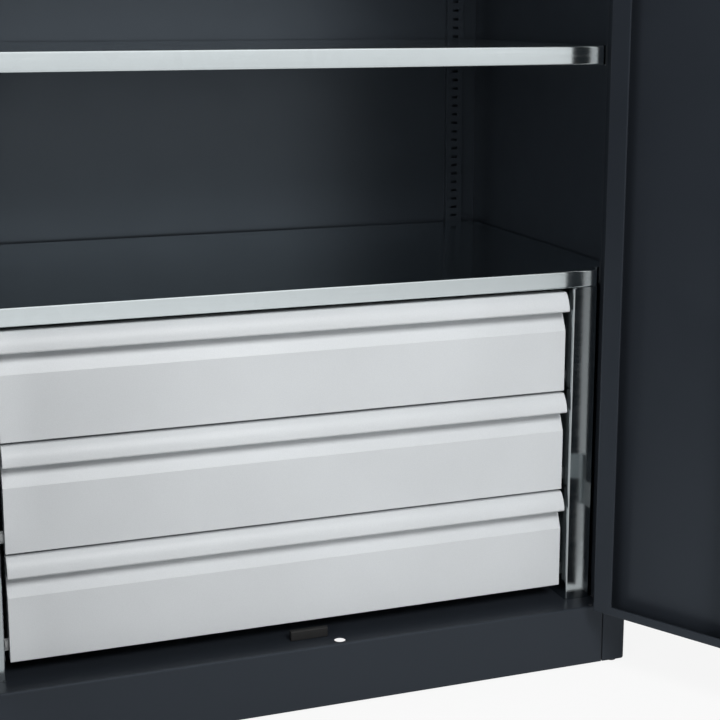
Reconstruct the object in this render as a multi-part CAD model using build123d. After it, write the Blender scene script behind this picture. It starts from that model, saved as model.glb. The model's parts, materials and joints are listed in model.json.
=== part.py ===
from build123d import *
import os

# A two-door steel storage cabinet with shelves and a block of three drawers behind the doors.
# Millimetres, +Z up, +X to the right as seen from the front, +Y to the back.
# The pieces are worked out with the front plane of the carcass at y = 0, and every piece is moved back
# by half the depth when it is saved, so the origin is the middle of the footprint on the floor.

# Overall size of the carcass
cabinet_width = 1000
cabinet_depth = 600
cabinet_height = 1950

# Carcass sheet, front posts, plinth, header and back wall
carcass_sheet = 1.5
foot_height = 4
post_width = 37
post_depth = 42
post_corner_radius = 3
post_inner_radius = 1
post_foot_radius = 5
seam_gap = 1.8
floor_top = 95
plinth_return = 20
bend_radius = 2.5
header_height = 45
header_lip = 20
back_recess = 18
top_flange = 20
top_flange_setback = 2

# Levelling feet and the plates that carry them
foot_radius = 8
stud_radius = 4
stud_height = 24
foot_plate_side = 40
foot_plate_sheet = 3
foot_post_inset = 15.5
foot_front_inset = 13
stud_clearance = 0.05

# Slotted rails for the shelf clips
rail_width = 30
rail_depth = 10
rail_sheet = 1.2
rail_end_gap = 5
rear_rail_inset = 43
front_rail_inset = 19
slot_height = 4.5
slot_width = 11
slot_pitch = 15
first_slot_rise = 23.25

# Shelves and their clips
shelf_sheet = 1.2
shelf_edge_height = 26.5
cover_edge_height = 25
shelf_bend_radius = 2.2
shelf_stop_gap = 5
shelf_post_gap = 9
shelf_notch_gap = 3
shelf_side_gap = 3
shelf_rear_gap = 2.5
shelf_front_return = 14
shelf_names = ("lower_shelf", "middle_shelf", "upper_shelf")
lower_shelf_slot_count = 52
clip_width = 16
clip_sheet = 2
clip_ledge_thickness = 3
clip_ledge_reach = 14
clip_back_height = 8
clip_back_drop = 5
clip_tab_depth = 4
clip_tab_clearance = 0.3

# Drawer cassette: two side panels and a cover shelf
panel_flange = 38
panel_sheet = 1.5
panel_bend_radius = 3
panel_relief_radius = 2.2
cassette_height = 482

# Drawers, counted from the top
drawer_count = 3
drawer_pitch = 152
drawer_front_height = 148
drawer_front_gap = 7.5
drawer_lift = 23
front_sheet = 1.5
face_height = 90
chamfer_height = 30
recess_behind_face = 13
grip_before_face = 12
grip_stop_gap = 1
grip_bow_radius = 38
grip_top_radius = 4
grip_bottom_radius = 3
front_thickness = 19
front_rim = 14
tray_sheet = 1.2
runner_space = 13
tray_length = 490
tray_height = 110
tray_lift = 6

# Telescopic runners
runner_height = 17
runner_sheet = 1.2
runner_lift = 8
runner_setback = 3
runner_length = 480
runner_gap = 0.4
runner_mouth = 2.5
drawer_travel = 450

# Doors
door_thickness = 27
door_sheet = 1.2
door_edge_radius = 2
door_side_lip = 30
door_end_lip = 13
door_end_gap = 3
door_middle_gap = 3
door_post_gap = 2.5
door_open_angle = 120
stiffener_width = 60
stiffener_depth = 18
stiffener_end_gap = 30
strip_overlap = 14
strip_seat = 24
strip_flange = 14
strip_sheet = 1.2
strip_clearance = 0.6
strip_stop_gap = 0.5
strip_end_gap = 5

# Door hinges: three barrels in front of each seam between a door and its post, with leaves in the seam
hinge_post_gap = 2
hinge_before_front = 5.5
hinge_count = 3
hinge_end_inset = 133
barrel_radius = 5
knuckle_height = 39
knuckle_gap = 0.5
leaf_depth = 22
leaf_sheet = 1.5
pin_radius = 2.5
pin_clearance = 0.05
pin_end_gap = 2

# Lock: turning handle, cam, two rods and a key cylinder on the right door
rod_x = 47
rod_depth = 14
rod_radius = 4
rod_clearance = 0.05
rod_hole_radius = 8.25
rod_door_hole_radius = 4.6
rod_end_gap = 2
rod_travel = 18
lock_height = 1000
cam_pin_radius = 3
cam_margin = 6
cam_sheet = 3
cam_depth = 5
cam_gap = 1
yoke_sheet = 2.5
yoke_wall = 4
yoke_clearance = 0.6
yoke_bow_share = 0.211
yoke_rod_gap = 2
handle_length = 100
handle_root_radius = 13
handle_tip_radius = 9
handle_thickness = 13
handle_edge_radius = 4
boss_radius = 9
boss_height = 14
boss_clearance = 0.05
spindle_radius = 4
plate_half_width = 19
plate_above = 34
plate_below = 82
plate_thickness = 4
plate_corner_radius = 9
plate_edge_radius = 1.5
key_drop = 56
key_radius = 8
key_clearance = 0.05
key_proud = 3
key_depth = 14
keyway_width = 1.8
keyway_height = 9
keyway_depth = 4
tongue_width = 8
tongue_length = 18
tongue_sheet = 2
door_hole_margin = 1
guide_half_width = 9
guide_height = 14
guide_wall = 2
guide_height_shares = (0.12, 0.36, 0.64, 0.88)

# Rubber-like door stops and the small holes beside the posts
stop_x = 7
stop_width = 55
stop_height = 14
stop_thickness = 8
stop_door_gap = 3
stop_edge_radius = 1.2
corner_hole_radius = 3
corner_hole_inset = 20
corner_hole_depth = 6.5

# One overrun for every cut that has to pass right through
overrun = 2

# Places worked out from the sizes above
half_width = cabinet_width / 2
wall_inside = half_width - carcass_sheet
post_inside = half_width - post_width
back_inside = cabinet_depth - back_recess
top_under = cabinet_height - carcass_sheet
header_under = cabinet_height - header_height
floor_under = floor_top - carcass_sheet
rail_bottom = floor_top + rail_end_gap
rail_top = header_under - rail_end_gap
first_slot = floor_top + first_slot_rise
stop_front = door_thickness + stop_door_gap
shelf_front_depth = stop_front + shelf_stop_gap
face_depth = stop_front + grip_stop_gap + grip_before_face
slot_count = int((rail_top - first_slot - slot_height) / slot_pitch) + 1
rear_rail_x = wall_inside - rear_rail_inset
front_rail_x = half_width - front_rail_inset
shelf_front_half_width = post_inside - shelf_post_gap
shelf_slot_step = (slot_count - 1 - lower_shelf_slot_count) // len(shelf_names)
panel_inside_half_width = shelf_front_half_width - panel_flange
drawer_front_half_width = panel_inside_half_width - drawer_front_gap
tray_half_width = panel_inside_half_width - runner_space
corner_hole_x = post_inside - corner_hole_inset
cassette_top = floor_top + cassette_height
cassette_rear = back_inside - rail_depth - shelf_rear_gap
front_back_plane = face_depth + front_thickness
door_bottom = floor_top + door_end_gap
door_top = header_under - door_end_gap
door_hinge_edge = post_inside - door_post_gap
door_free_edge = door_middle_gap / 2
hinge_x = post_inside - hinge_post_gap
hinge_y = -hinge_before_front


def slab(x0, x1, y0, y1, z0, z1):
    """A block between two opposite corners."""
    middle = ((x0 + x1) / 2, (y0 + y1) / 2, (z0 + z1) / 2)
    return Pos(*middle) * Box(x1 - x0, y1 - y0, z1 - z0)


def upright(x, y, z0, z1, radius):
    """A round bar or bore along z."""
    return Pos(x, y, (z0 + z1) / 2) * Cylinder(radius, z1 - z0)


def lengthwise(x, y0, y1, z, radius):
    """A round bar or bore along y."""
    return Pos(x, (y0 + y1) / 2, z) * Rot(90, 0, 0) * Cylinder(radius, y1 - y0)


def front_edges(solid):
    """The edges round the foremost face of a solid."""
    return solid.faces().sort_by(Axis.Y)[0].edges()


def mirrored(piece):
    """The same piece on the other side of the cabinet."""
    return mirror(piece, about=Plane.YZ)


def swung(piece):
    """A piece of the closed right door, moved to the open door."""
    return piece.rotate(Axis((hinge_x, hinge_y, 0), (0, 0, 1)), door_open_angle)


def save(name, *pieces):
    """Writes one named piece, or a group of alike pieces, about the middle of the footprint."""
    solids = [solid for piece in pieces for solid in piece.solids()]
    placed = [Pos(0, -cabinet_depth / 2, 0) * solid for solid in solids]
    whole = placed[0] if len(placed) == 1 else Compound(children=placed)
    export_step(whole, f"parts/{name}.step")


# Carcass
def side_panel():
    return slab(wall_inside, half_width, post_depth, cabinet_depth, foot_height, top_under)


def front_post():
    """A hollow post with rounded front corners and a rounded outer corner at its foot."""
    post = slab(post_inside, half_width, 0, post_depth, foot_height, top_under)
    post = fillet(post.edges().filter_by(Axis.Z).group_by(Axis.Y)[0].sort_by(Axis.X)[-1], post_corner_radius)
    post = fillet(post.edges().filter_by(Axis.Z).group_by(Axis.X)[0].sort_by(Axis.Y)[0], post_inner_radius)
    round_x = half_width - post_foot_radius
    round_z = foot_height + post_foot_radius
    back = post_depth + overrun
    corner = slab(round_x, half_width + overrun, -overrun, back, foot_height - overrun, round_z)
    post -= corner - lengthwise(round_x, -overrun, back, round_z, post_foot_radius)
    return post - slab(
        post_inside + carcass_sheet,
        wall_inside,
        carcass_sheet,
        post_depth - carcass_sheet,
        foot_height - overrun,
        top_under + overrun,
    )


def floor_panel():
    """The cabinet floor, folded down into the plinth, whose ends turn back beside the posts with a seam."""
    reach = post_inside - seam_gap
    panel = slab(-reach, reach, 0, post_depth, floor_under, floor_top)
    panel += slab(-wall_inside, wall_inside, post_depth, back_inside, floor_under, floor_top)
    panel += slab(-reach, reach, 0, carcass_sheet, foot_height, floor_top)
    panel += slab(-reach, reach, 0, plinth_return, foot_height, foot_height + carcass_sheet)
    end = slab(reach - carcass_sheet, reach, 0, post_depth, foot_height, floor_top)
    panel += [end, mirrored(end)]
    bend = panel.edges().filter_by(Axis.X).group_by(Axis.Y)[0].sort_by(Axis.Z)[-1]
    panel = fillet(bend, bend_radius)
    holes = [upright(rod_x, rod_depth, floor_under - overrun, floor_top + overrun, rod_hole_radius)]
    for x in (-corner_hole_x, corner_hole_x):
        place = (x, corner_hole_depth, floor_under - overrun, floor_top + overrun)
        holes.append(upright(*place, corner_hole_radius))
    return panel - holes


def front_header():
    """The rail over the doors: a front sheet, a return under it and a lip turned up behind."""
    reach = post_inside - seam_gap
    rail = slab(-reach, reach, 0, carcass_sheet, header_under, top_under)
    rail += slab(-reach, reach, 0, post_depth, header_under, header_under + carcass_sheet)
    lip_front = post_depth - carcass_sheet
    rail += slab(-reach, reach, lip_front, post_depth, header_under, header_under + header_lip)
    bend = rail.edges().filter_by(Axis.X).group_by(Axis.Y)[0].sort_by(Axis.Z)[0]
    rail = fillet(bend, bend_radius)
    rise = header_under + carcass_sheet + overrun
    return rail - upright(rod_x, rod_depth, header_under - overrun, rise, rod_hole_radius)


def top_panel():
    """The roof sheet with a flange turned down inside each side and the back."""
    sheet = slab(-half_width, half_width, 0, cabinet_depth, top_under, cabinet_height)
    sheet = fillet(sheet.edges().filter_by(Axis.Z).group_by(Axis.Y)[0], post_corner_radius)
    flange_front = post_depth + top_flange_setback
    flange_back = back_inside - top_flange_setback
    flange_under = top_under - top_flange
    inside = wall_inside - carcass_sheet
    flange = slab(inside, wall_inside, flange_front, flange_back, flange_under, top_under)
    back_flange_front = back_inside - carcass_sheet
    rear = slab(-rear_rail_x, rear_rail_x, back_flange_front, back_inside, flange_under, top_under)
    return sheet + flange + mirrored(flange) + rear


def back_panel():
    """The back wall, folded backwards along all four edges."""
    pan = slab(-wall_inside, wall_inside, back_inside, cabinet_depth, foot_height, top_under)
    reach = wall_inside - carcass_sheet
    return pan - slab(
        -reach,
        reach,
        back_inside + carcass_sheet,
        cabinet_depth + overrun,
        foot_height + carcass_sheet,
        top_under - carcass_sheet,
    )


def foot_places():
    """The middle of each foot: in the front posts and in the rear corners."""
    front = (half_width - foot_post_inset, foot_front_inset)
    rear = (wall_inside - foot_plate_side / 2, back_inside - foot_plate_side / 2)
    return [(side * x, y) for x, y in (front, rear) for side in (-1, 1)]


def foot_plates():
    """Plates welded into the posts and the rear corners, each with a hole for a stud."""
    z1 = foot_height + foot_plate_sheet
    sheet = carcass_sheet
    front = slab(post_inside + sheet, wall_inside, sheet, post_depth - sheet, foot_height, z1)
    x0 = wall_inside - foot_plate_side
    rear = slab(x0, wall_inside, back_inside - foot_plate_side, back_inside, foot_height, z1)
    plates = [mirrored(front), front, mirrored(rear), rear]
    bore = stud_radius + stud_clearance
    return [
        plate - upright(x, y, foot_height - overrun, z1 + overrun, bore)
        for plate, (x, y) in zip(plates, foot_places())
    ]


def levelling_feet():
    """A round pad on a threaded stud, four times."""
    return [
        upright(x, y, 0, foot_height, foot_radius) + upright(x, y, 0, stud_height, stud_radius)
        for x, y in foot_places()
    ]


def door_stop(z0, z1):
    """A block that a closed door rests against."""
    x0 = stop_x - stop_width / 2
    block = slab(x0, x0 + stop_width, stop_front, stop_front + stop_thickness, z0, z1)
    return fillet(front_edges(block), stop_edge_radius)


# Slotted rails, shelves and clips
def slot_z(number):
    return first_slot + number * slot_pitch


def shelf_slots():
    """The slot that carries each shelf: the shelves above the lowest share the rest of the rails."""
    return [lower_shelf_slot_count + number * shelf_slot_step for number in range(len(shelf_names))]


def slot_rail():
    """A rail against a wall at y = 0, facing the front, with its slots on x = 0."""
    side = rail_width / 2
    rail = slab(-side, side, -rail_depth, 0, rail_bottom, rail_top)
    rail -= slab(
        -side + rail_sheet,
        side - rail_sheet,
        -rail_depth + rail_sheet,
        overrun,
        rail_bottom - overrun,
        rail_top + overrun,
    )
    slot = Box(slot_width, rail_sheet + overrun, slot_height)
    return rail - [Pos(0, -rail_depth, slot_z(number)) * slot for number in range(slot_count)]


def rear_rail():
    return Pos(rear_rail_x, back_inside, 0) * slot_rail()


def front_rail():
    return Pos(front_rail_x, post_depth, 0) * Rot(0, 0, 180) * slot_rail()


def shelf_outline(inset):
    """The shelf from above: full width behind the posts, narrower between them."""
    front_x = shelf_front_half_width - inset
    side_x = wall_inside - shelf_side_gap - inset
    front_y = shelf_front_depth + inset
    notch_y = post_depth + rail_depth + shelf_notch_gap + inset
    rear_y = cassette_rear - inset
    right = [(front_x, front_y), (front_x, notch_y), (side_x, notch_y), (side_x, rear_y)]
    left = [(-x, y) for x, y in reversed(right)]
    return make_face(Polyline(*right, *left, close=True))


def shelf(bottom, edge_height):
    """A shelf folded down on every edge, with a return under its front edge."""
    tray = Pos(0, 0, bottom) * extrude(shelf_outline(0), edge_height)
    tray = fillet(front_edges(tray), shelf_bend_radius)
    hollow = Pos(0, 0, bottom) * extrude(shelf_outline(shelf_sheet), edge_height - shelf_sheet)
    back = shelf_front_depth + shelf_front_return
    half = shelf_front_half_width
    hollow -= slab(-half, half, shelf_front_depth, back, bottom - overrun, bottom + shelf_sheet)
    return tray - hollow


def shelf_clip(number):
    """A clip hung in one slot of a rail at x = 0, y = 0, with its ledge level with the slot's middle."""
    z = slot_z(number)
    side = clip_width / 2
    face = -rail_depth
    clip = slab(-side, side, face - clip_ledge_reach, face, z - clip_ledge_thickness, z)
    clip += slab(-side, side, face - clip_sheet, face, z - clip_back_drop, z + clip_back_height)
    tab_x = slot_width / 2 - clip_tab_clearance
    tab_z = slot_height / 2 - clip_tab_clearance
    return clip + slab(-tab_x, tab_x, face, face + clip_tab_depth, z - tab_z, z + tab_z)


def shelf_clips():
    """Four clips under each shelf that hangs in the rails."""
    clips = []
    for number in shelf_slots():
        rear = Pos(rear_rail_x, back_inside, 0) * shelf_clip(number)
        front = Pos(front_rail_x, post_depth, 0) * Rot(0, 0, 180) * shelf_clip(number)
        clips += [rear, front, mirrored(rear), mirrored(front)]
    return clips


# Drawer cassette
def cassette_panel():
    """A side of the drawer block: a flat web with a flange turned outwards on every edge."""
    x0 = panel_inside_half_width
    x1 = shelf_front_half_width
    panel = slab(x0, x1, shelf_front_depth, cassette_rear, floor_top, cassette_top)
    bend = panel.edges().filter_by(Axis.Z).group_by(Axis.X)[0].sort_by(Axis.Y)[0]
    panel = fillet(bend, panel_bend_radius)
    relief_x = x0 + panel_relief_radius
    relief_y = (shelf_front_depth - overrun, shelf_front_depth + panel_bend_radius)
    for z in (floor_top, cassette_top):
        panel -= lengthwise(relief_x, *relief_y, z, panel_relief_radius)
    return panel - slab(
        x0 + panel_sheet,
        x1 + overrun,
        shelf_front_depth + panel_sheet,
        cassette_rear - panel_sheet,
        floor_top + panel_sheet,
        cassette_top - panel_sheet,
    )


def drawer_bottom(number):
    """The lower edge of a drawer front, with drawer 1 at the top."""
    return floor_top + drawer_lift + (drawer_count - number) * drawer_pitch


def front_profile(inset):
    """The section of a drawer front in y and z: flat face, sloped finger recess and bowed grip."""
    face_y = face_depth + inset
    recess_y = face_depth + recess_behind_face + inset
    back_y = front_back_plane - inset
    top_z = drawer_front_height - inset
    slope_z = face_height + chamfer_height
    foot_z = slope_z + inset
    bow_centre_y = face_depth - grip_before_face + grip_bow_radius

    def bow_point(z):
        """A point of the bow, which stands upright at the foot of the grip."""
        return bow_centre_y - ((grip_bow_radius - inset) ** 2 - (z - slope_z) ** 2) ** 0.5, z

    foot, middle, top = [bow_point(z) for z in (foot_z, (foot_z + top_z) / 2, top_z)]
    sides = Polyline(
        top,
        (back_y, top_z),
        (back_y, inset),
        (face_y, inset),
        (face_y, face_height),
        (recess_y, slope_z),
        foot,
    )
    face = make_face([*sides.edges(), ThreePointArc(foot, middle, top)])
    face = fillet(face.vertices().sort_by_distance(top)[0], grip_top_radius - inset)
    return fillet(face.vertices().sort_by_distance(foot)[0], grip_bottom_radius - inset)


def drawer_front(number):
    """A hollow folded front, open at the back inside a narrow rim."""
    z = drawer_bottom(number)
    half = drawer_front_half_width
    shell = extrude(Plane.YZ * front_profile(0), half, both=True)
    shell -= extrude(Plane.YZ * front_profile(front_sheet), half - front_sheet, both=True)
    window = half - front_rim
    low, high = front_rim, face_height + chamfer_height - front_rim
    back = front_back_plane
    shell -= slab(-window, window, back - front_sheet - overrun, back + overrun, low, high)
    return Pos(0, 0, z) * shell


def drawer_tray(number):
    """The open box behind a drawer front."""
    z = drawer_bottom(number) + tray_lift
    y0 = front_back_plane
    tray = slab(-tray_half_width, tray_half_width, y0, y0 + tray_length, z, z + tray_height)
    inside = tray_half_width - tray_sheet
    return tray - slab(
        -inside,
        inside,
        y0 + tray_sheet,
        y0 + tray_length - tray_sheet,
        z + tray_sheet,
        z + tray_height + overrun,
    )


def channel(x0, x1, y0, y1, z0, z1, wall):
    """A channel along y that is open towards the middle of the cabinet."""
    bar = slab(x0, x1, y0, y1, z0, z1)
    return bar - slab(x0 - overrun, x1 - wall, y0 - overrun, y1 + overrun, z0 + wall, z1 - wall)


def runners(number):
    """The outer, middle and inner member of the right runner of a drawer, one inside the other."""
    z0 = drawer_bottom(number) + runner_lift
    z1 = z0 + runner_height
    y0 = front_back_plane + runner_setback
    y1 = y0 + runner_length
    step = runner_sheet + runner_gap
    mouth = tray_half_width + runner_mouth
    x1 = panel_inside_half_width
    outer = channel(mouth, x1, y0, y1, z0, z1, runner_sheet)
    middle = channel(mouth, x1 - step, y0, y1, z0 + step, z1 - step, runner_sheet)
    inner = slab(tray_half_width, x1 - 2 * step, y0, y1, z0 + 2 * step, z1 - 2 * step)
    return outer, middle, inner


# Doors, drawn closed and to the right of the middle
def door():
    """A door pan: skin, four returns and lips turned in along its back."""
    pan = slab(door_free_edge, door_hinge_edge, 0, door_thickness, door_bottom, door_top)
    pan = fillet(front_edges(pan), door_edge_radius)
    pan -= slab(
        door_free_edge + door_sheet,
        door_hinge_edge - door_sheet,
        door_sheet,
        door_thickness - door_sheet,
        door_bottom + door_sheet,
        door_top - door_sheet,
    )
    return pan - slab(
        door_free_edge + door_side_lip,
        door_hinge_edge - door_side_lip,
        door_thickness - door_sheet - overrun,
        door_thickness + overrun,
        door_bottom + door_end_lip,
        door_top - door_end_lip,
    )


def lock_door():
    """The right door, with holes for the rods, the handle and the key cylinder."""
    holes = [upright(rod_x, rod_depth, door_bottom - overrun, door_top + overrun, rod_door_hole_radius)]
    for z, radius in ((lock_height, boss_radius), (lock_height - key_drop, key_radius)):
        holes.append(lengthwise(rod_x, -overrun, door_sheet + overrun, z, radius + door_hole_margin))
    return door() - holes


def door_stiffener():
    """A hat section on the inside of the skin, halfway across the door."""
    middle = (door_free_edge + door_hinge_edge) / 2
    x0 = middle - stiffener_width / 2
    x1 = middle + stiffener_width / 2
    y1 = door_sheet + stiffener_depth
    z0 = door_bottom + stiffener_end_gap
    z1 = door_top - stiffener_end_gap
    hat = slab(x0, x1, door_sheet, y1, z0, z1)
    hollow = (x0 + door_sheet, x1 - door_sheet, door_sheet - overrun, y1 - door_sheet)
    return hat - slab(*hollow, z0 - overrun, z1 + overrun)


def strike_strip():
    """A folded strip on the left door that reaches behind the right door and rests on the stops."""
    z0 = door_bottom + strip_end_gap
    z1 = door_top - strip_end_gap
    x0 = -door_free_edge - strip_seat
    wall_x = x0 + strip_flange
    wall_x1 = wall_x + strip_sheet
    leg_x = strip_overlap - strip_sheet
    y0 = door_thickness
    y1 = stop_front - strip_stop_gap
    strip = slab(x0, wall_x1, y0, y0 + strip_sheet, z0, z1)
    strip += slab(wall_x, wall_x1, y0, y1, z0, z1)
    strip += slab(wall_x, strip_overlap, y1 - strip_sheet, y1, z0, z1)
    return strip + slab(leg_x, strip_overlap, y0 + strip_clearance, y1, z0, z1)


def hinge_heights():
    """The lower end of each hinge."""
    low = door_bottom + hinge_end_inset
    high = door_top - hinge_end_inset - 2 * knuckle_height
    step = (high - low) / (hinge_count - 1)
    return [low + number * step for number in range(hinge_count)]


def knuckle(z, seat_x, way):
    """A barrel with a leaf that lies on the edge of the door (1) or on the side of the post (-1)."""
    z1 = z + knuckle_height
    leaf_x = sorted((seat_x, seat_x + way * leaf_sheet))
    body = upright(hinge_x, hinge_y, z, z1, barrel_radius)
    body += slab(*leaf_x, hinge_y, leaf_depth, z, z1)
    bore = upright(hinge_x, hinge_y, z - overrun, z1 + overrun, pin_radius + pin_clearance)
    return body - bore


def post_knuckles():
    return [knuckle(z, post_inside, -1) for z in hinge_heights()]


def door_knuckles():
    return [knuckle(z + knuckle_height + knuckle_gap, door_hinge_edge, 1) for z in hinge_heights()]


def hinge_pins():
    top = 2 * knuckle_height + knuckle_gap - pin_end_gap
    return [upright(hinge_x, hinge_y, z + pin_end_gap, z + top, pin_radius) for z in hinge_heights()]


# Lock on the right door
def lock_plate():
    """The plate outside the door that the handle and the key cylinder turn in."""
    low = lock_height - plate_below
    high = lock_height + plate_above
    plate = slab(rod_x - plate_half_width, rod_x + plate_half_width, -plate_thickness, 0, low, high)
    plate = fillet(plate.edges().filter_by(Axis.Y), plate_corner_radius)
    plate = fillet(front_edges(plate), plate_edge_radius)
    front = -plate_thickness - overrun
    boss_bore = lengthwise(rod_x, front, overrun, lock_height, boss_radius + boss_clearance)
    key_bore = lengthwise(rod_x, front, overrun, lock_height - key_drop, key_radius + key_clearance)
    return plate - [boss_bore, key_bore]


def lock_handle():
    """A tapered lever on a round boss, with a spindle through the door skin."""
    lever_back = -plate_thickness - boss_height
    root = Circle(handle_root_radius)
    tip = Pos(handle_length, 0) * Circle(handle_tip_radius)
    outline = make_hull(root.edges() + tip.edges())
    plane = Plane((rod_x, lever_back, lock_height), x_dir=(1, 0, 0), z_dir=(0, -1, 0))
    lever = extrude(plane * outline, handle_thickness)
    lever = fillet(front_edges(lever), handle_edge_radius)
    lever += lengthwise(rod_x, lever_back, door_sheet, lock_height, boss_radius)
    return lever + lengthwise(rod_x, lever_back, cam_depth, lock_height, spindle_radius)


def lock_cam():
    """A plate on the end of the spindle with one pin for each rod."""
    back = cam_depth + cam_sheet
    lower_pin_end = back + cam_gap + yoke_sheet + cam_gap / 2
    upper_pin_end = lower_pin_end + cam_gap / 2 + yoke_sheet + cam_gap / 2
    half = rod_travel + cam_margin
    heights = (lock_height - cam_margin, lock_height + cam_margin)
    cam = slab(rod_x - half, rod_x + half, cam_depth, back, *heights)
    cam += lengthwise(rod_x + rod_travel, cam_depth, lower_pin_end, lock_height, cam_pin_radius)
    return cam + lengthwise(rod_x - rod_travel, cam_depth, upper_pin_end, lock_height, cam_pin_radius)


def lock_rod(way):
    """A round rod down to the plinth (-1) or up to the header (1), with a slotted yoke round its cam pin."""
    reach = cam_pin_radius + yoke_clearance
    bow = yoke_bow_share * rod_travel
    y0 = cam_depth + cam_sheet + cam_gap
    rod_far = door_bottom + rod_end_gap
    if way > 0:
        y0 += yoke_sheet + cam_gap
        rod_far = door_top - rod_end_gap
    slot_x = sorted((rod_x + way * reach, rod_x - way * (rod_travel + reach)))
    slot_heights = sorted((lock_height - way * reach, lock_height + way * (bow + reach)))
    yoke_x = (slot_x[0] - yoke_wall, slot_x[1] + yoke_wall)
    yoke_heights = (slot_heights[0] - yoke_wall, slot_heights[1] + yoke_wall)
    yoke = slab(*yoke_x, y0, y0 + yoke_sheet, *yoke_heights)
    yoke -= slab(*slot_x, y0 - overrun, y0 + yoke_sheet + overrun, *slot_heights)
    rod_near = lock_height + way * (bow + reach + yoke_rod_gap)
    rod_ends = sorted((rod_near, rod_far))
    return yoke + upright(rod_x, rod_depth, *rod_ends, rod_radius)


def rod_guides():
    """Blocks on the inside of the skin that the rods slide in."""
    guides = []
    for share in guide_height_shares:
        z0 = door_bottom + share * (door_top - door_bottom) - guide_height / 2
        z1 = z0 + guide_height
        back = rod_depth + rod_radius + guide_wall
        block = slab(rod_x - guide_half_width, rod_x + guide_half_width, door_sheet, back, z0, z1)
        bore = upright(rod_x, rod_depth, z0 - overrun, z1 + overrun, rod_radius + rod_clearance)
        guides.append(block - bore)
    return guides


def key_cylinder():
    """A key cylinder with a keyway and a tongue behind the door skin."""
    z = lock_height - key_drop
    front = -plate_thickness - key_proud
    back = front + key_depth
    core = lengthwise(rod_x, front, back, z, key_radius)
    way_x = (rod_x - keyway_width / 2, rod_x + keyway_width / 2)
    way_z = (z - keyway_height / 2, z + keyway_height / 2)
    core -= slab(*way_x, front - overrun, front + keyway_depth, *way_z)
    tongue_z = (z - tongue_width / 2, z + tongue_width / 2)
    return core + slab(rod_x, rod_x + tongue_length, back - tongue_sheet, back, *tongue_z)


def save_pair(name, piece):
    """Saves a right piece and its mirror image as two nodes."""
    save(f"right_{name}", piece)
    save(f"left_{name}", mirrored(piece))


os.makedirs("parts", exist_ok=True)
save_pair("side_panel", side_panel())
save_pair("front_post", front_post())
save("floor_panel", floor_panel())
save("front_header", front_header())
save("top_panel", top_panel())
save("back_panel", back_panel())
save("foot_plates", *foot_plates())
save("levelling_feet", *levelling_feet())
save("lower_door_stop", door_stop(floor_top, floor_top + stop_height))
save("upper_door_stop", door_stop(header_under - stop_height, header_under))
save_pair("rear_slot_rail", rear_rail())
save_pair("front_slot_rail", front_rail())
for shelf_name, slot_number in zip(shelf_names, shelf_slots()):
    save(shelf_name, shelf(slot_z(slot_number), shelf_edge_height))
save("drawer_cover_shelf", shelf(cassette_top, cover_edge_height))
save("shelf_clips", *shelf_clips())
save_pair("cassette_panel", cassette_panel())
for drawer_number in range(1, drawer_count + 1):
    save(f"drawer_{drawer_number}_front", drawer_front(drawer_number))
    save(f"drawer_{drawer_number}_tray", drawer_tray(drawer_number))
    for member, runner in zip(("outer", "middle", "inner"), runners(drawer_number)):
        save(f"drawer_{drawer_number}_{member}_runners", mirrored(runner), runner)
save("right_door", swung(lock_door()))
save("left_door", mirrored(swung(door())))
save_pair("door_stiffener", swung(door_stiffener()))
closed_strip = mirrored(strike_strip())
save("door_strike_strip", mirrored(swung(closed_strip)))
for side, turn in (("right", lambda piece: piece), ("left", mirrored)):
    save(f"{side}_post_knuckles", *[turn(piece) for piece in post_knuckles()])
    save(f"{side}_door_knuckles", *[turn(swung(piece)) for piece in door_knuckles()])
    save(f"{side}_hinge_pins", *[turn(piece) for piece in hinge_pins()])
save("lock_plate", swung(lock_plate()))
save("lock_handle", swung(lock_handle()))
save("lock_cam", swung(lock_cam()))
save("lower_lock_rod", swung(lock_rod(-1)))
save("upper_lock_rod", swung(lock_rod(1)))
save("rod_guides", *[swung(piece) for piece in rod_guides()])
save("key_cylinder", swung(key_cylinder()))
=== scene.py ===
import json
import math

import bpy
from mathutils import Euler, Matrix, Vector

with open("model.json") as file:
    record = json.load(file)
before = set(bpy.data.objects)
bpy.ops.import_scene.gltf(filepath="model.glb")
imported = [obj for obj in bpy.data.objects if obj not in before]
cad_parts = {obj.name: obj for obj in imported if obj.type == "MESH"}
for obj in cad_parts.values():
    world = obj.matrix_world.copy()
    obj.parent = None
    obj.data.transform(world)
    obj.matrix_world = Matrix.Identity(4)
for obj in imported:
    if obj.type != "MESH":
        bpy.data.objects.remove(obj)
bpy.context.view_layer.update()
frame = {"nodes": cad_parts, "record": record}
scene = bpy.context.scene

# Camera: the viewpoint of the photograph, in metres and degrees, with the lens in millimetres
CAMERA_PLACE = (-0.600, -2.174, 0.977)
CAMERA_LEVEL = 90.0
CAMERA_PITCH = -11.0
CAMERA_YAW = 19.74
CAMERA_LENS = 74.7
CAMERA_SHIFT_SHARE = -0.085

# Studio, in metres and watts: a pale floor, a white surround, a key lamp high in front and a fill lamp
FLOOR_HALF_SIDE = 20.0
FLOOR_COLOUR = (0.65, 0.65, 0.65, 1)
FLOOR_WHITE_FROM = 1.5
FLOOR_WHITE_TO = 5.0
FLOOR_NEAR_SHARE = 0.90
FLOOR_FAR_SHARE = 1.0
FLOOR_MIRRORED_SHARE = 0.4
SEEN_LIGHT = 1.0
SURROUND_LIGHT = 0.18
SURROUND_SEEN_SHARE = 1.0
SURROUND_MIRRORED_SHARE = 1.0
LAMP_AIM = (0.0, -0.3, 0.5)
KEY_LAMP_PLACE = (0.45, -3.10, 2.60)
KEY_LAMP_SIDE = 1.1
KEY_LAMP_POWER = 96.0
KEY_GLEAM_POWER = 24.0
FILL_LAMP_PLACE = (-2.7, -2.4, 1.05)
FILL_LAMP_SIDE = 1.6
FILL_LAMP_POWER = 46.0

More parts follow.
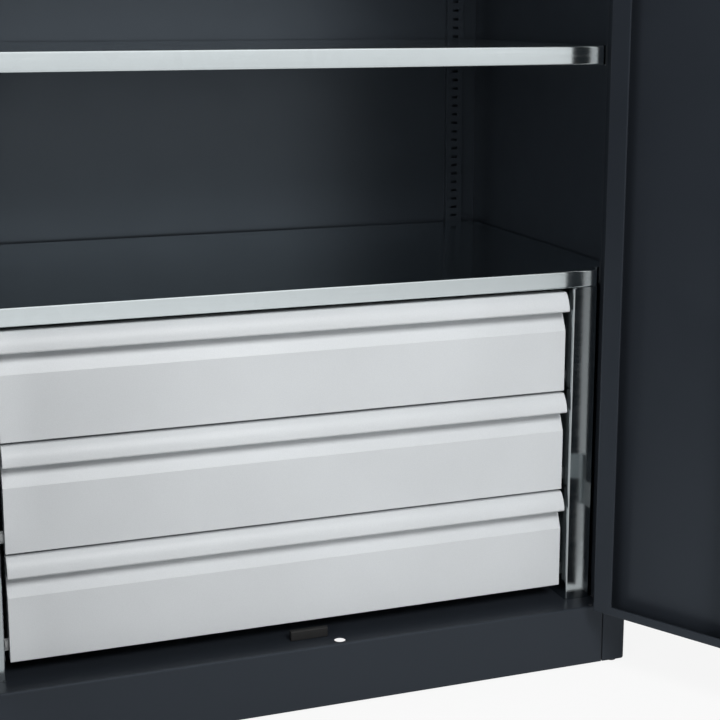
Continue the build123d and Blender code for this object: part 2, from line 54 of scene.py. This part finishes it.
# Colours, in linear light
WHITE = (1.0, 1.0, 1.0, 1)
ANTHRACITE = (0.0170, 0.0204, 0.0260)
ANTHRACITE_TINT = (0.75, 0.87, 1.0, 1)
LIGHT_GREY = (0.572, 0.596, 0.613)
GALVANISED = (0.705, 0.770, 0.790)
# Galvanised sheet darkened as painted shade, which dims the reflections in the cassette panels
SHADED_GALVANISED = (0.430, 0.470, 0.485)
ZINC = (0.560, 0.575, 0.580)
NICKEL = (0.680, 0.670, 0.650)
BLACK = (0.011, 0.011, 0.011)

# Noise: the stretch of its values that is spread over a range
NOISE_LOW = 0.25
NOISE_HIGH = 0.75

# Edges: the cosine of a face's turn where an edge begins and where it is full
EDGE_BEGINS = 0.98
EDGE_FULL = 0.75
EDGE_SAMPLES = 4

# Powder coat: grains, depths and radii in metres
CLOUD_GRAIN = 0.22
CLOUD_DETAIL = 3
CLOUD_REACH = 0.05
SPECK_GRAIN = 0.0012
SPECK_DETAIL = 1
SPECK_REACH = 0.04
PEEL_GRAIN = 0.0018
PEEL_DETAIL = 2
PEEL_STRENGTH = 0.05
PEEL_DEPTH = 0.0004
PAINT_GLOSS_GRAIN = 0.05
PAINT_GLOSS_DETAIL = 4
PAINT_GLOSS_REACH = 0.03
BENT_EDGE_RADIUS = 0.003
SHARP_EDGE_RADIUS = 0.0006

# Rolled metal: grains, depths and radii in metres
STREAK_STRETCH = (0.04, 1, 1)
STREAK_GRAIN = 0.004
STREAK_DETAIL = 4
STREAK_STRENGTH = 0.02
STREAK_DEPTH = 0.0003
CRYSTAL_SIZE = 0.014
METAL_GLOSS_REACH = 0.04
METAL_EDGE_RADIUS = 0.001
# The share by which the edges of rolled metal are lightened in the colour, a painted highlight
METAL_EDGE_HIGHLIGHT_GAIN = 0.10

# Moulded plastic: grains, depths and radii in metres
ERODED_GRAIN = 0.0008
ERODED_DETAIL = 3
ERODED_STRENGTH = 0.2
ERODED_DEPTH = 0.0003
FLOW_GRAIN = 0.02
FLOW_DETAIL = 3
FLOW_REACH = 0.15
PLASTIC_GLOSS_REACH = 0.06
PLASTIC_SPECULAR = 0.4
PLASTIC_EDGE_RADIUS = 0.001
# The share by which the edges of plastic are lightened in the colour, a painted highlight
PLASTIC_EDGE_HIGHLIGHT_GAIN = 0.6


# Shader helpers
def node(tree, kind, inputs=None, **settings):
    """Adds a shader node, sets its properties, and sets or links its inputs."""
    made = tree.nodes.new(kind)
    for name, value in settings.items():
        setattr(made, name, value)
    for name, value in (inputs or {}).items():
        socket = made.inputs[name]
        if isinstance(value, bpy.types.NodeSocket):
            tree.links.new(value, socket)
        else:
            socket.default_value = value
    return made


def empty_tree(data):
    """The node tree of a material or a world, with nothing in it."""
    data.use_nodes = True
    data.node_tree.nodes.clear()
    return data.node_tree


def empty_material(name):
    """A new material and its node tree, with nothing in it."""
    material = bpy.data.materials.new(name)
    return material, empty_tree(material)


def finished(material, inputs):
    """The material with a Principled shader on its output, which has these inputs."""
    tree = material.node_tree
    shader = node(tree, "ShaderNodeBsdfPrincipled", inputs)
    node(tree, "ShaderNodeOutputMaterial", {"Surface": shader.outputs["BSDF"]})
    return material


def object_place(tree, stretch=(1, 1, 1)):
    """A point on the object in metres, stretched along its axes."""
    place = node(tree, "ShaderNodeTexCoord").outputs["Object"]
    return node(tree, "ShaderNodeMapping", {"Vector": place, "Scale": stretch}).outputs["Vector"]


def noise(tree, place, grain, detail):
    """Even noise whose features are about one grain wide, in metres."""
    inputs = {"Vector": place, "Scale": 1 / grain, "Detail": detail}
    return node(tree, "ShaderNodeTexNoise", inputs).outputs["Fac"]


def spread(tree, value, middle, reach):
    """Spreads a noise value evenly to both sides of a middle value."""
    inputs = {"Value": value, "From Min": NOISE_LOW, "From Max": NOISE_HIGH,
              "To Min": middle - reach, "To Max": middle + reach}
    return node(tree, "ShaderNodeMapRange", inputs).outputs["Result"]


def added(tree, first, second, times):
    """The first value plus the second value times a number."""
    inputs = {0: second, 1: times, 2: first}
    return node(tree, "ShaderNodeMath", inputs, operation="MULTIPLY_ADD").outputs["Value"]


def shaded(tree, colour, strength):
    """A colour made lighter or darker by a strength that varies over the surface."""
    inputs = {0: colour, 1: strength}
    return node(tree, "ShaderNodeVectorMath", inputs, operation="MULTIPLY").outputs["Vector"]


def rounded_edges(tree, radius):
    """A share that is near 1 on edges and 0 on flat faces, and the normals rounded over the radius."""
    rounded = node(tree, "ShaderNodeBevel", {"Radius": radius}, samples=EDGE_SAMPLES).outputs["Normal"]
    straight = node(tree, "ShaderNodeNewGeometry").outputs["Normal"]
    inputs = {0: rounded, 1: straight}
    facing = node(tree, "ShaderNodeVectorMath", inputs, operation="DOT_PRODUCT").outputs["Value"]
    inputs = {"Value": facing, "From Min": EDGE_BEGINS, "From Max": EDGE_FULL}
    return node(tree, "ShaderNodeMapRange", inputs).outputs["Result"], rounded


def bumped(tree, height, normal, strength, depth):
    """Normals with a fine relief, whose depth is in metres."""
    inputs = {"Height": height, "Normal": normal, "Strength": strength, "Distance": depth}
    return node(tree, "ShaderNodeBump", inputs).outputs["Normal"]


# Materials
def powder_coat(name, colour, tint, specular, roughness, edge_highlight_gain, edge_radius):
    """Sprayed and baked paint: broad clouds, fine specks, an orange-peel surface, and edges lightened in the
    colour as a painted highlight.
    """
    material, tree = empty_material(name)
    place = object_place(tree)
    clouds = spread(tree, noise(tree, place, CLOUD_GRAIN, CLOUD_DETAIL), 1, CLOUD_REACH)
    specks = spread(tree, noise(tree, place, SPECK_GRAIN, SPECK_DETAIL), 0, SPECK_REACH)
    peel = noise(tree, place, PEEL_GRAIN, PEEL_DETAIL)
    gloss = noise(tree, place, PAINT_GLOSS_GRAIN, PAINT_GLOSS_DETAIL)
    edges, rounded = rounded_edges(tree, edge_radius)
    # Painted highlight: the colour is lightened on the edges by the edge gain
    strength = added(tree, added(tree, clouds, specks, 1), edges, edge_highlight_gain)
    return finished(material, {
        "Base Color": shaded(tree, colour, strength),
        "Roughness": spread(tree, gloss, roughness, PAINT_GLOSS_REACH),
        "Normal": bumped(tree, peel, rounded, PEEL_STRENGTH, PEEL_DEPTH),
        "Specular IOR Level": specular,
        "Specular Tint": tint,
    })


def rolled_metal(name, colour, roughness, streak, spangle):
    """Sheet metal from a rolling mill: long faint streaks, pale crystals of zinc, and edges lightened in the
    colour as a painted highlight.
    """
    material, tree = empty_material(name)
    streaks = noise(tree, object_place(tree, STREAK_STRETCH), STREAK_GRAIN, STREAK_DETAIL)
    inputs = {"Vector": object_place(tree), "Scale": 1 / CRYSTAL_SIZE}
    crystals = node(tree, "ShaderNodeTexVoronoi", inputs).outputs["Color"]
    edges, rounded = rounded_edges(tree, METAL_EDGE_RADIUS)
    strength = added(tree, spread(tree, streaks, 1, streak), crystals, spangle)
    # Painted highlight: the colour is lightened on the edges
    strength = added(tree, strength, edges, METAL_EDGE_HIGHLIGHT_GAIN)
    return finished(material, {
        "Base Color": shaded(tree, colour, strength),
        "Roughness": spread(tree, streaks, roughness, METAL_GLOSS_REACH),
        "Normal": bumped(tree, streaks, rounded, STREAK_STRENGTH, STREAK_DEPTH),
        "Metallic": 1.0,
    })


def moulded_plastic(name, colour, roughness):
    """Plastic with a fine eroded grain, the soft clouds of its flow in the mould, and edges lightened in the
    colour as a painted highlight.
    """
    material, tree = empty_material(name)
    place = object_place(tree)
    grain = noise(tree, place, ERODED_GRAIN, ERODED_DETAIL)
    flow = spread(tree, noise(tree, place, FLOW_GRAIN, FLOW_DETAIL), 1, FLOW_REACH)
    edges, rounded = rounded_edges(tree, PLASTIC_EDGE_RADIUS)
    # Painted highlight: the colour is lightened on the edges
    strength = added(tree, flow, edges, PLASTIC_EDGE_HIGHLIGHT_GAIN)
    return finished(material, {
        "Base Color": shaded(tree, colour, strength),
        "Roughness": spread(tree, grain, roughness, PLASTIC_GLOSS_REACH),
        "Normal": bumped(tree, grain, rounded, ERODED_STRENGTH, ERODED_DEPTH),
        "Specular IOR Level": PLASTIC_SPECULAR,
    })


# Finishes of the record's material slots
# The edge gains of the paints lighten their edges in the colour, a painted highlight
SLOT_FINISHES = {
    "anthracite_paint": powder_coat("anthracite_paint", ANTHRACITE, ANTHRACITE_TINT, specular=0.36,
                                    roughness=0.36, edge_highlight_gain=0.5, edge_radius=BENT_EDGE_RADIUS),
    "light_grey_paint": powder_coat("light_grey_paint", LIGHT_GREY, WHITE, specular=0.80,
                                    roughness=0.38, edge_highlight_gain=0.05, edge_radius=SHARP_EDGE_RADIUS),
    "galvanised_steel": rolled_metal("galvanised_steel", GALVANISED,
                                     roughness=0.15, streak=0.02, spangle=0.03),
    "zinc_plated_steel": rolled_metal("zinc_plated_steel", ZINC,
                                      roughness=0.32, streak=0.04, spangle=0.02),
    "polished_metal": rolled_metal("polished_metal", NICKEL,
                                   roughness=0.16, streak=0.01, spangle=0.0),
    "black_plastic": moulded_plastic("black_plastic", BLACK, roughness=0.55),
}

# Finishes of single nodes: a glossier coat on the walls and rails, and painted shade on the cassette panels
WALLS_AND_RAILS = ("back_panel", "left_side_panel", "right_side_panel", "left_front_slot_rail",
                   "left_rear_slot_rail", "right_front_slot_rail", "right_rear_slot_rail")
WALL_FINISH = powder_coat("wall_paint", ANTHRACITE, ANTHRACITE_TINT, specular=0.85,
                          roughness=0.34, edge_highlight_gain=0.5, edge_radius=SHARP_EDGE_RADIUS)
CASSETTES = ("left_cassette_panel", "right_cassette_panel")
# Painted shade: the cassette panels get a darker copy of the galvanised sheet, so that their reflections
# come out dimmer
CASSETTE_SHADED_FINISH = rolled_metal("shaded_galvanised_steel", SHADED_GALVANISED,
                               roughness=0.15, streak=0.02, spangle=0.03)
NODE_FINISHES = dict.fromkeys(WALLS_AND_RAILS, WALL_FINISH) | dict.fromkeys(CASSETTES, CASSETTE_SHADED_FINISH)


def dress_nodes():
    """Gives every CAD node its own finish, or else the one of its material slot in the record."""
    for part in frame["record"]["subparts"]:
        name = part["node"]
        for slot in frame["nodes"][name].material_slots:
            slot.material = NODE_FINISHES.get(name, SLOT_FINISHES[part["material_slot"]])


# Studio
def seen_share(tree, direct, mirrored):
    """One share for what is seen directly or through glass, one for reflections, and 0 for light."""
    path = node(tree, "ShaderNodeLightPath").outputs
    inputs = {0: path["Is Camera Ray"], 1: path["Is Transmission Ray"]}
    seen = node(tree, "ShaderNodeMath", inputs, operation="MAXIMUM").outputs["Value"]
    inputs = {0: seen, 1: direct}
    seen = node(tree, "ShaderNodeMath", inputs, operation="MULTIPLY").outputs["Value"]
    return added(tree, seen, path["Is Glossy Ray"], mirrored)


def studio_floor():
    """A pale floor that shows the soft shadow under the cabinet and turns white further away."""
    side = FLOOR_HALF_SIDE
    corners = [(-side, -side, 0), (side, -side, 0), (side, side, 0), (-side, side, 0)]
    mesh = bpy.data.meshes.new("studio_floor")
    mesh.from_pydata(corners, [], [(0, 1, 2, 3)])
    floor = bpy.data.objects.new("studio_floor", mesh)
    scene.collection.objects.link(floor)
    material, tree = empty_material("studio_floor")
    mesh.materials.append(material)
    inputs = {0: object_place(tree)}
    distance = node(tree, "ShaderNodeVectorMath", inputs, operation="LENGTH").outputs["Value"]
    inputs = {"Value": distance, "From Min": FLOOR_WHITE_FROM, "From Max": FLOOR_WHITE_TO,
              "To Min": FLOOR_NEAR_SHARE, "To Max": FLOOR_FAR_SHARE}
    direct = node(tree, "ShaderNodeMapRange", inputs).outputs["Result"]
    share = seen_share(tree, direct, FLOOR_MIRRORED_SHARE)
    matt = node(tree, "ShaderNodeBsdfDiffuse", {"Color": FLOOR_COLOUR})
    glow = node(tree, "ShaderNodeEmission", {"Color": WHITE, "Strength": SEEN_LIGHT})
    inputs = {"Fac": share, 1: matt.outputs["BSDF"], 2: glow.outputs["Emission"]}
    mixed = node(tree, "ShaderNodeMixShader", inputs)
    node(tree, "ShaderNodeOutputMaterial", {"Surface": mixed.outputs["Shader"]})


def surround():
    """An even white surround: plain white to look at, and a softer fill as light."""
    scene.world = bpy.data.worlds.new("surround")
    tree = empty_tree(scene.world)
    fill = node(tree, "ShaderNodeBackground", {"Color": WHITE, "Strength": SURROUND_LIGHT})
    white = node(tree, "ShaderNodeBackground", {"Color": WHITE, "Strength": SEEN_LIGHT})
    share = seen_share(tree, SURROUND_SEEN_SHARE, SURROUND_MIRRORED_SHARE)
    inputs = {"Fac": share, 1: fill.outputs["Background"], 2: white.outputs["Background"]}
    mixed = node(tree, "ShaderNodeMixShader", inputs)
    node(tree, "ShaderNodeOutputWorld", {"Surface": mixed.outputs["Shader"]})


def soft_lamp(name, place, side, power, mirrored):
    """A square lamp that faces the cabinet. A mirrored one only gleams in reflections, others only light."""
    lamp = bpy.data.lights.new(name, "AREA")
    lamp.size = side
    lamp.energy = power
    lamp_object = bpy.data.objects.new(name, lamp)
    lamp_object.location = place
    lamp_object.rotation_euler = (Vector(LAMP_AIM) - Vector(place)).to_track_quat("-Z", "Y").to_euler()
    lamp_object.visible_camera = False
    lamp_object.visible_diffuse = not mirrored
    lamp_object.visible_glossy = mirrored
    scene.collection.objects.link(lamp_object)


def camera():
    """The photograph's viewpoint, tilted down on the lower right part of the cabinet."""
    data = bpy.data.cameras.new("camera")
    data.lens = CAMERA_LENS
    data.shift_y = CAMERA_SHIFT_SHARE
    viewer = bpy.data.objects.new("camera", data)
    viewer.location = CAMERA_PLACE
    viewer.rotation_euler = Euler((math.radians(CAMERA_LEVEL + CAMERA_PITCH), 0, math.radians(-CAMERA_YAW)))
    scene.collection.objects.link(viewer)
    scene.camera = viewer


dress_nodes()
studio_floor()
surround()
soft_lamp("key_lamp", KEY_LAMP_PLACE, KEY_LAMP_SIDE, KEY_LAMP_POWER, mirrored=False)
soft_lamp("key_gleam", KEY_LAMP_PLACE, KEY_LAMP_SIDE, KEY_GLEAM_POWER, mirrored=True)
soft_lamp("fill_lamp", FILL_LAMP_PLACE, FILL_LAMP_SIDE, FILL_LAMP_POWER, mirrored=False)
camera()
scene.view_settings.view_transform = "Standard"
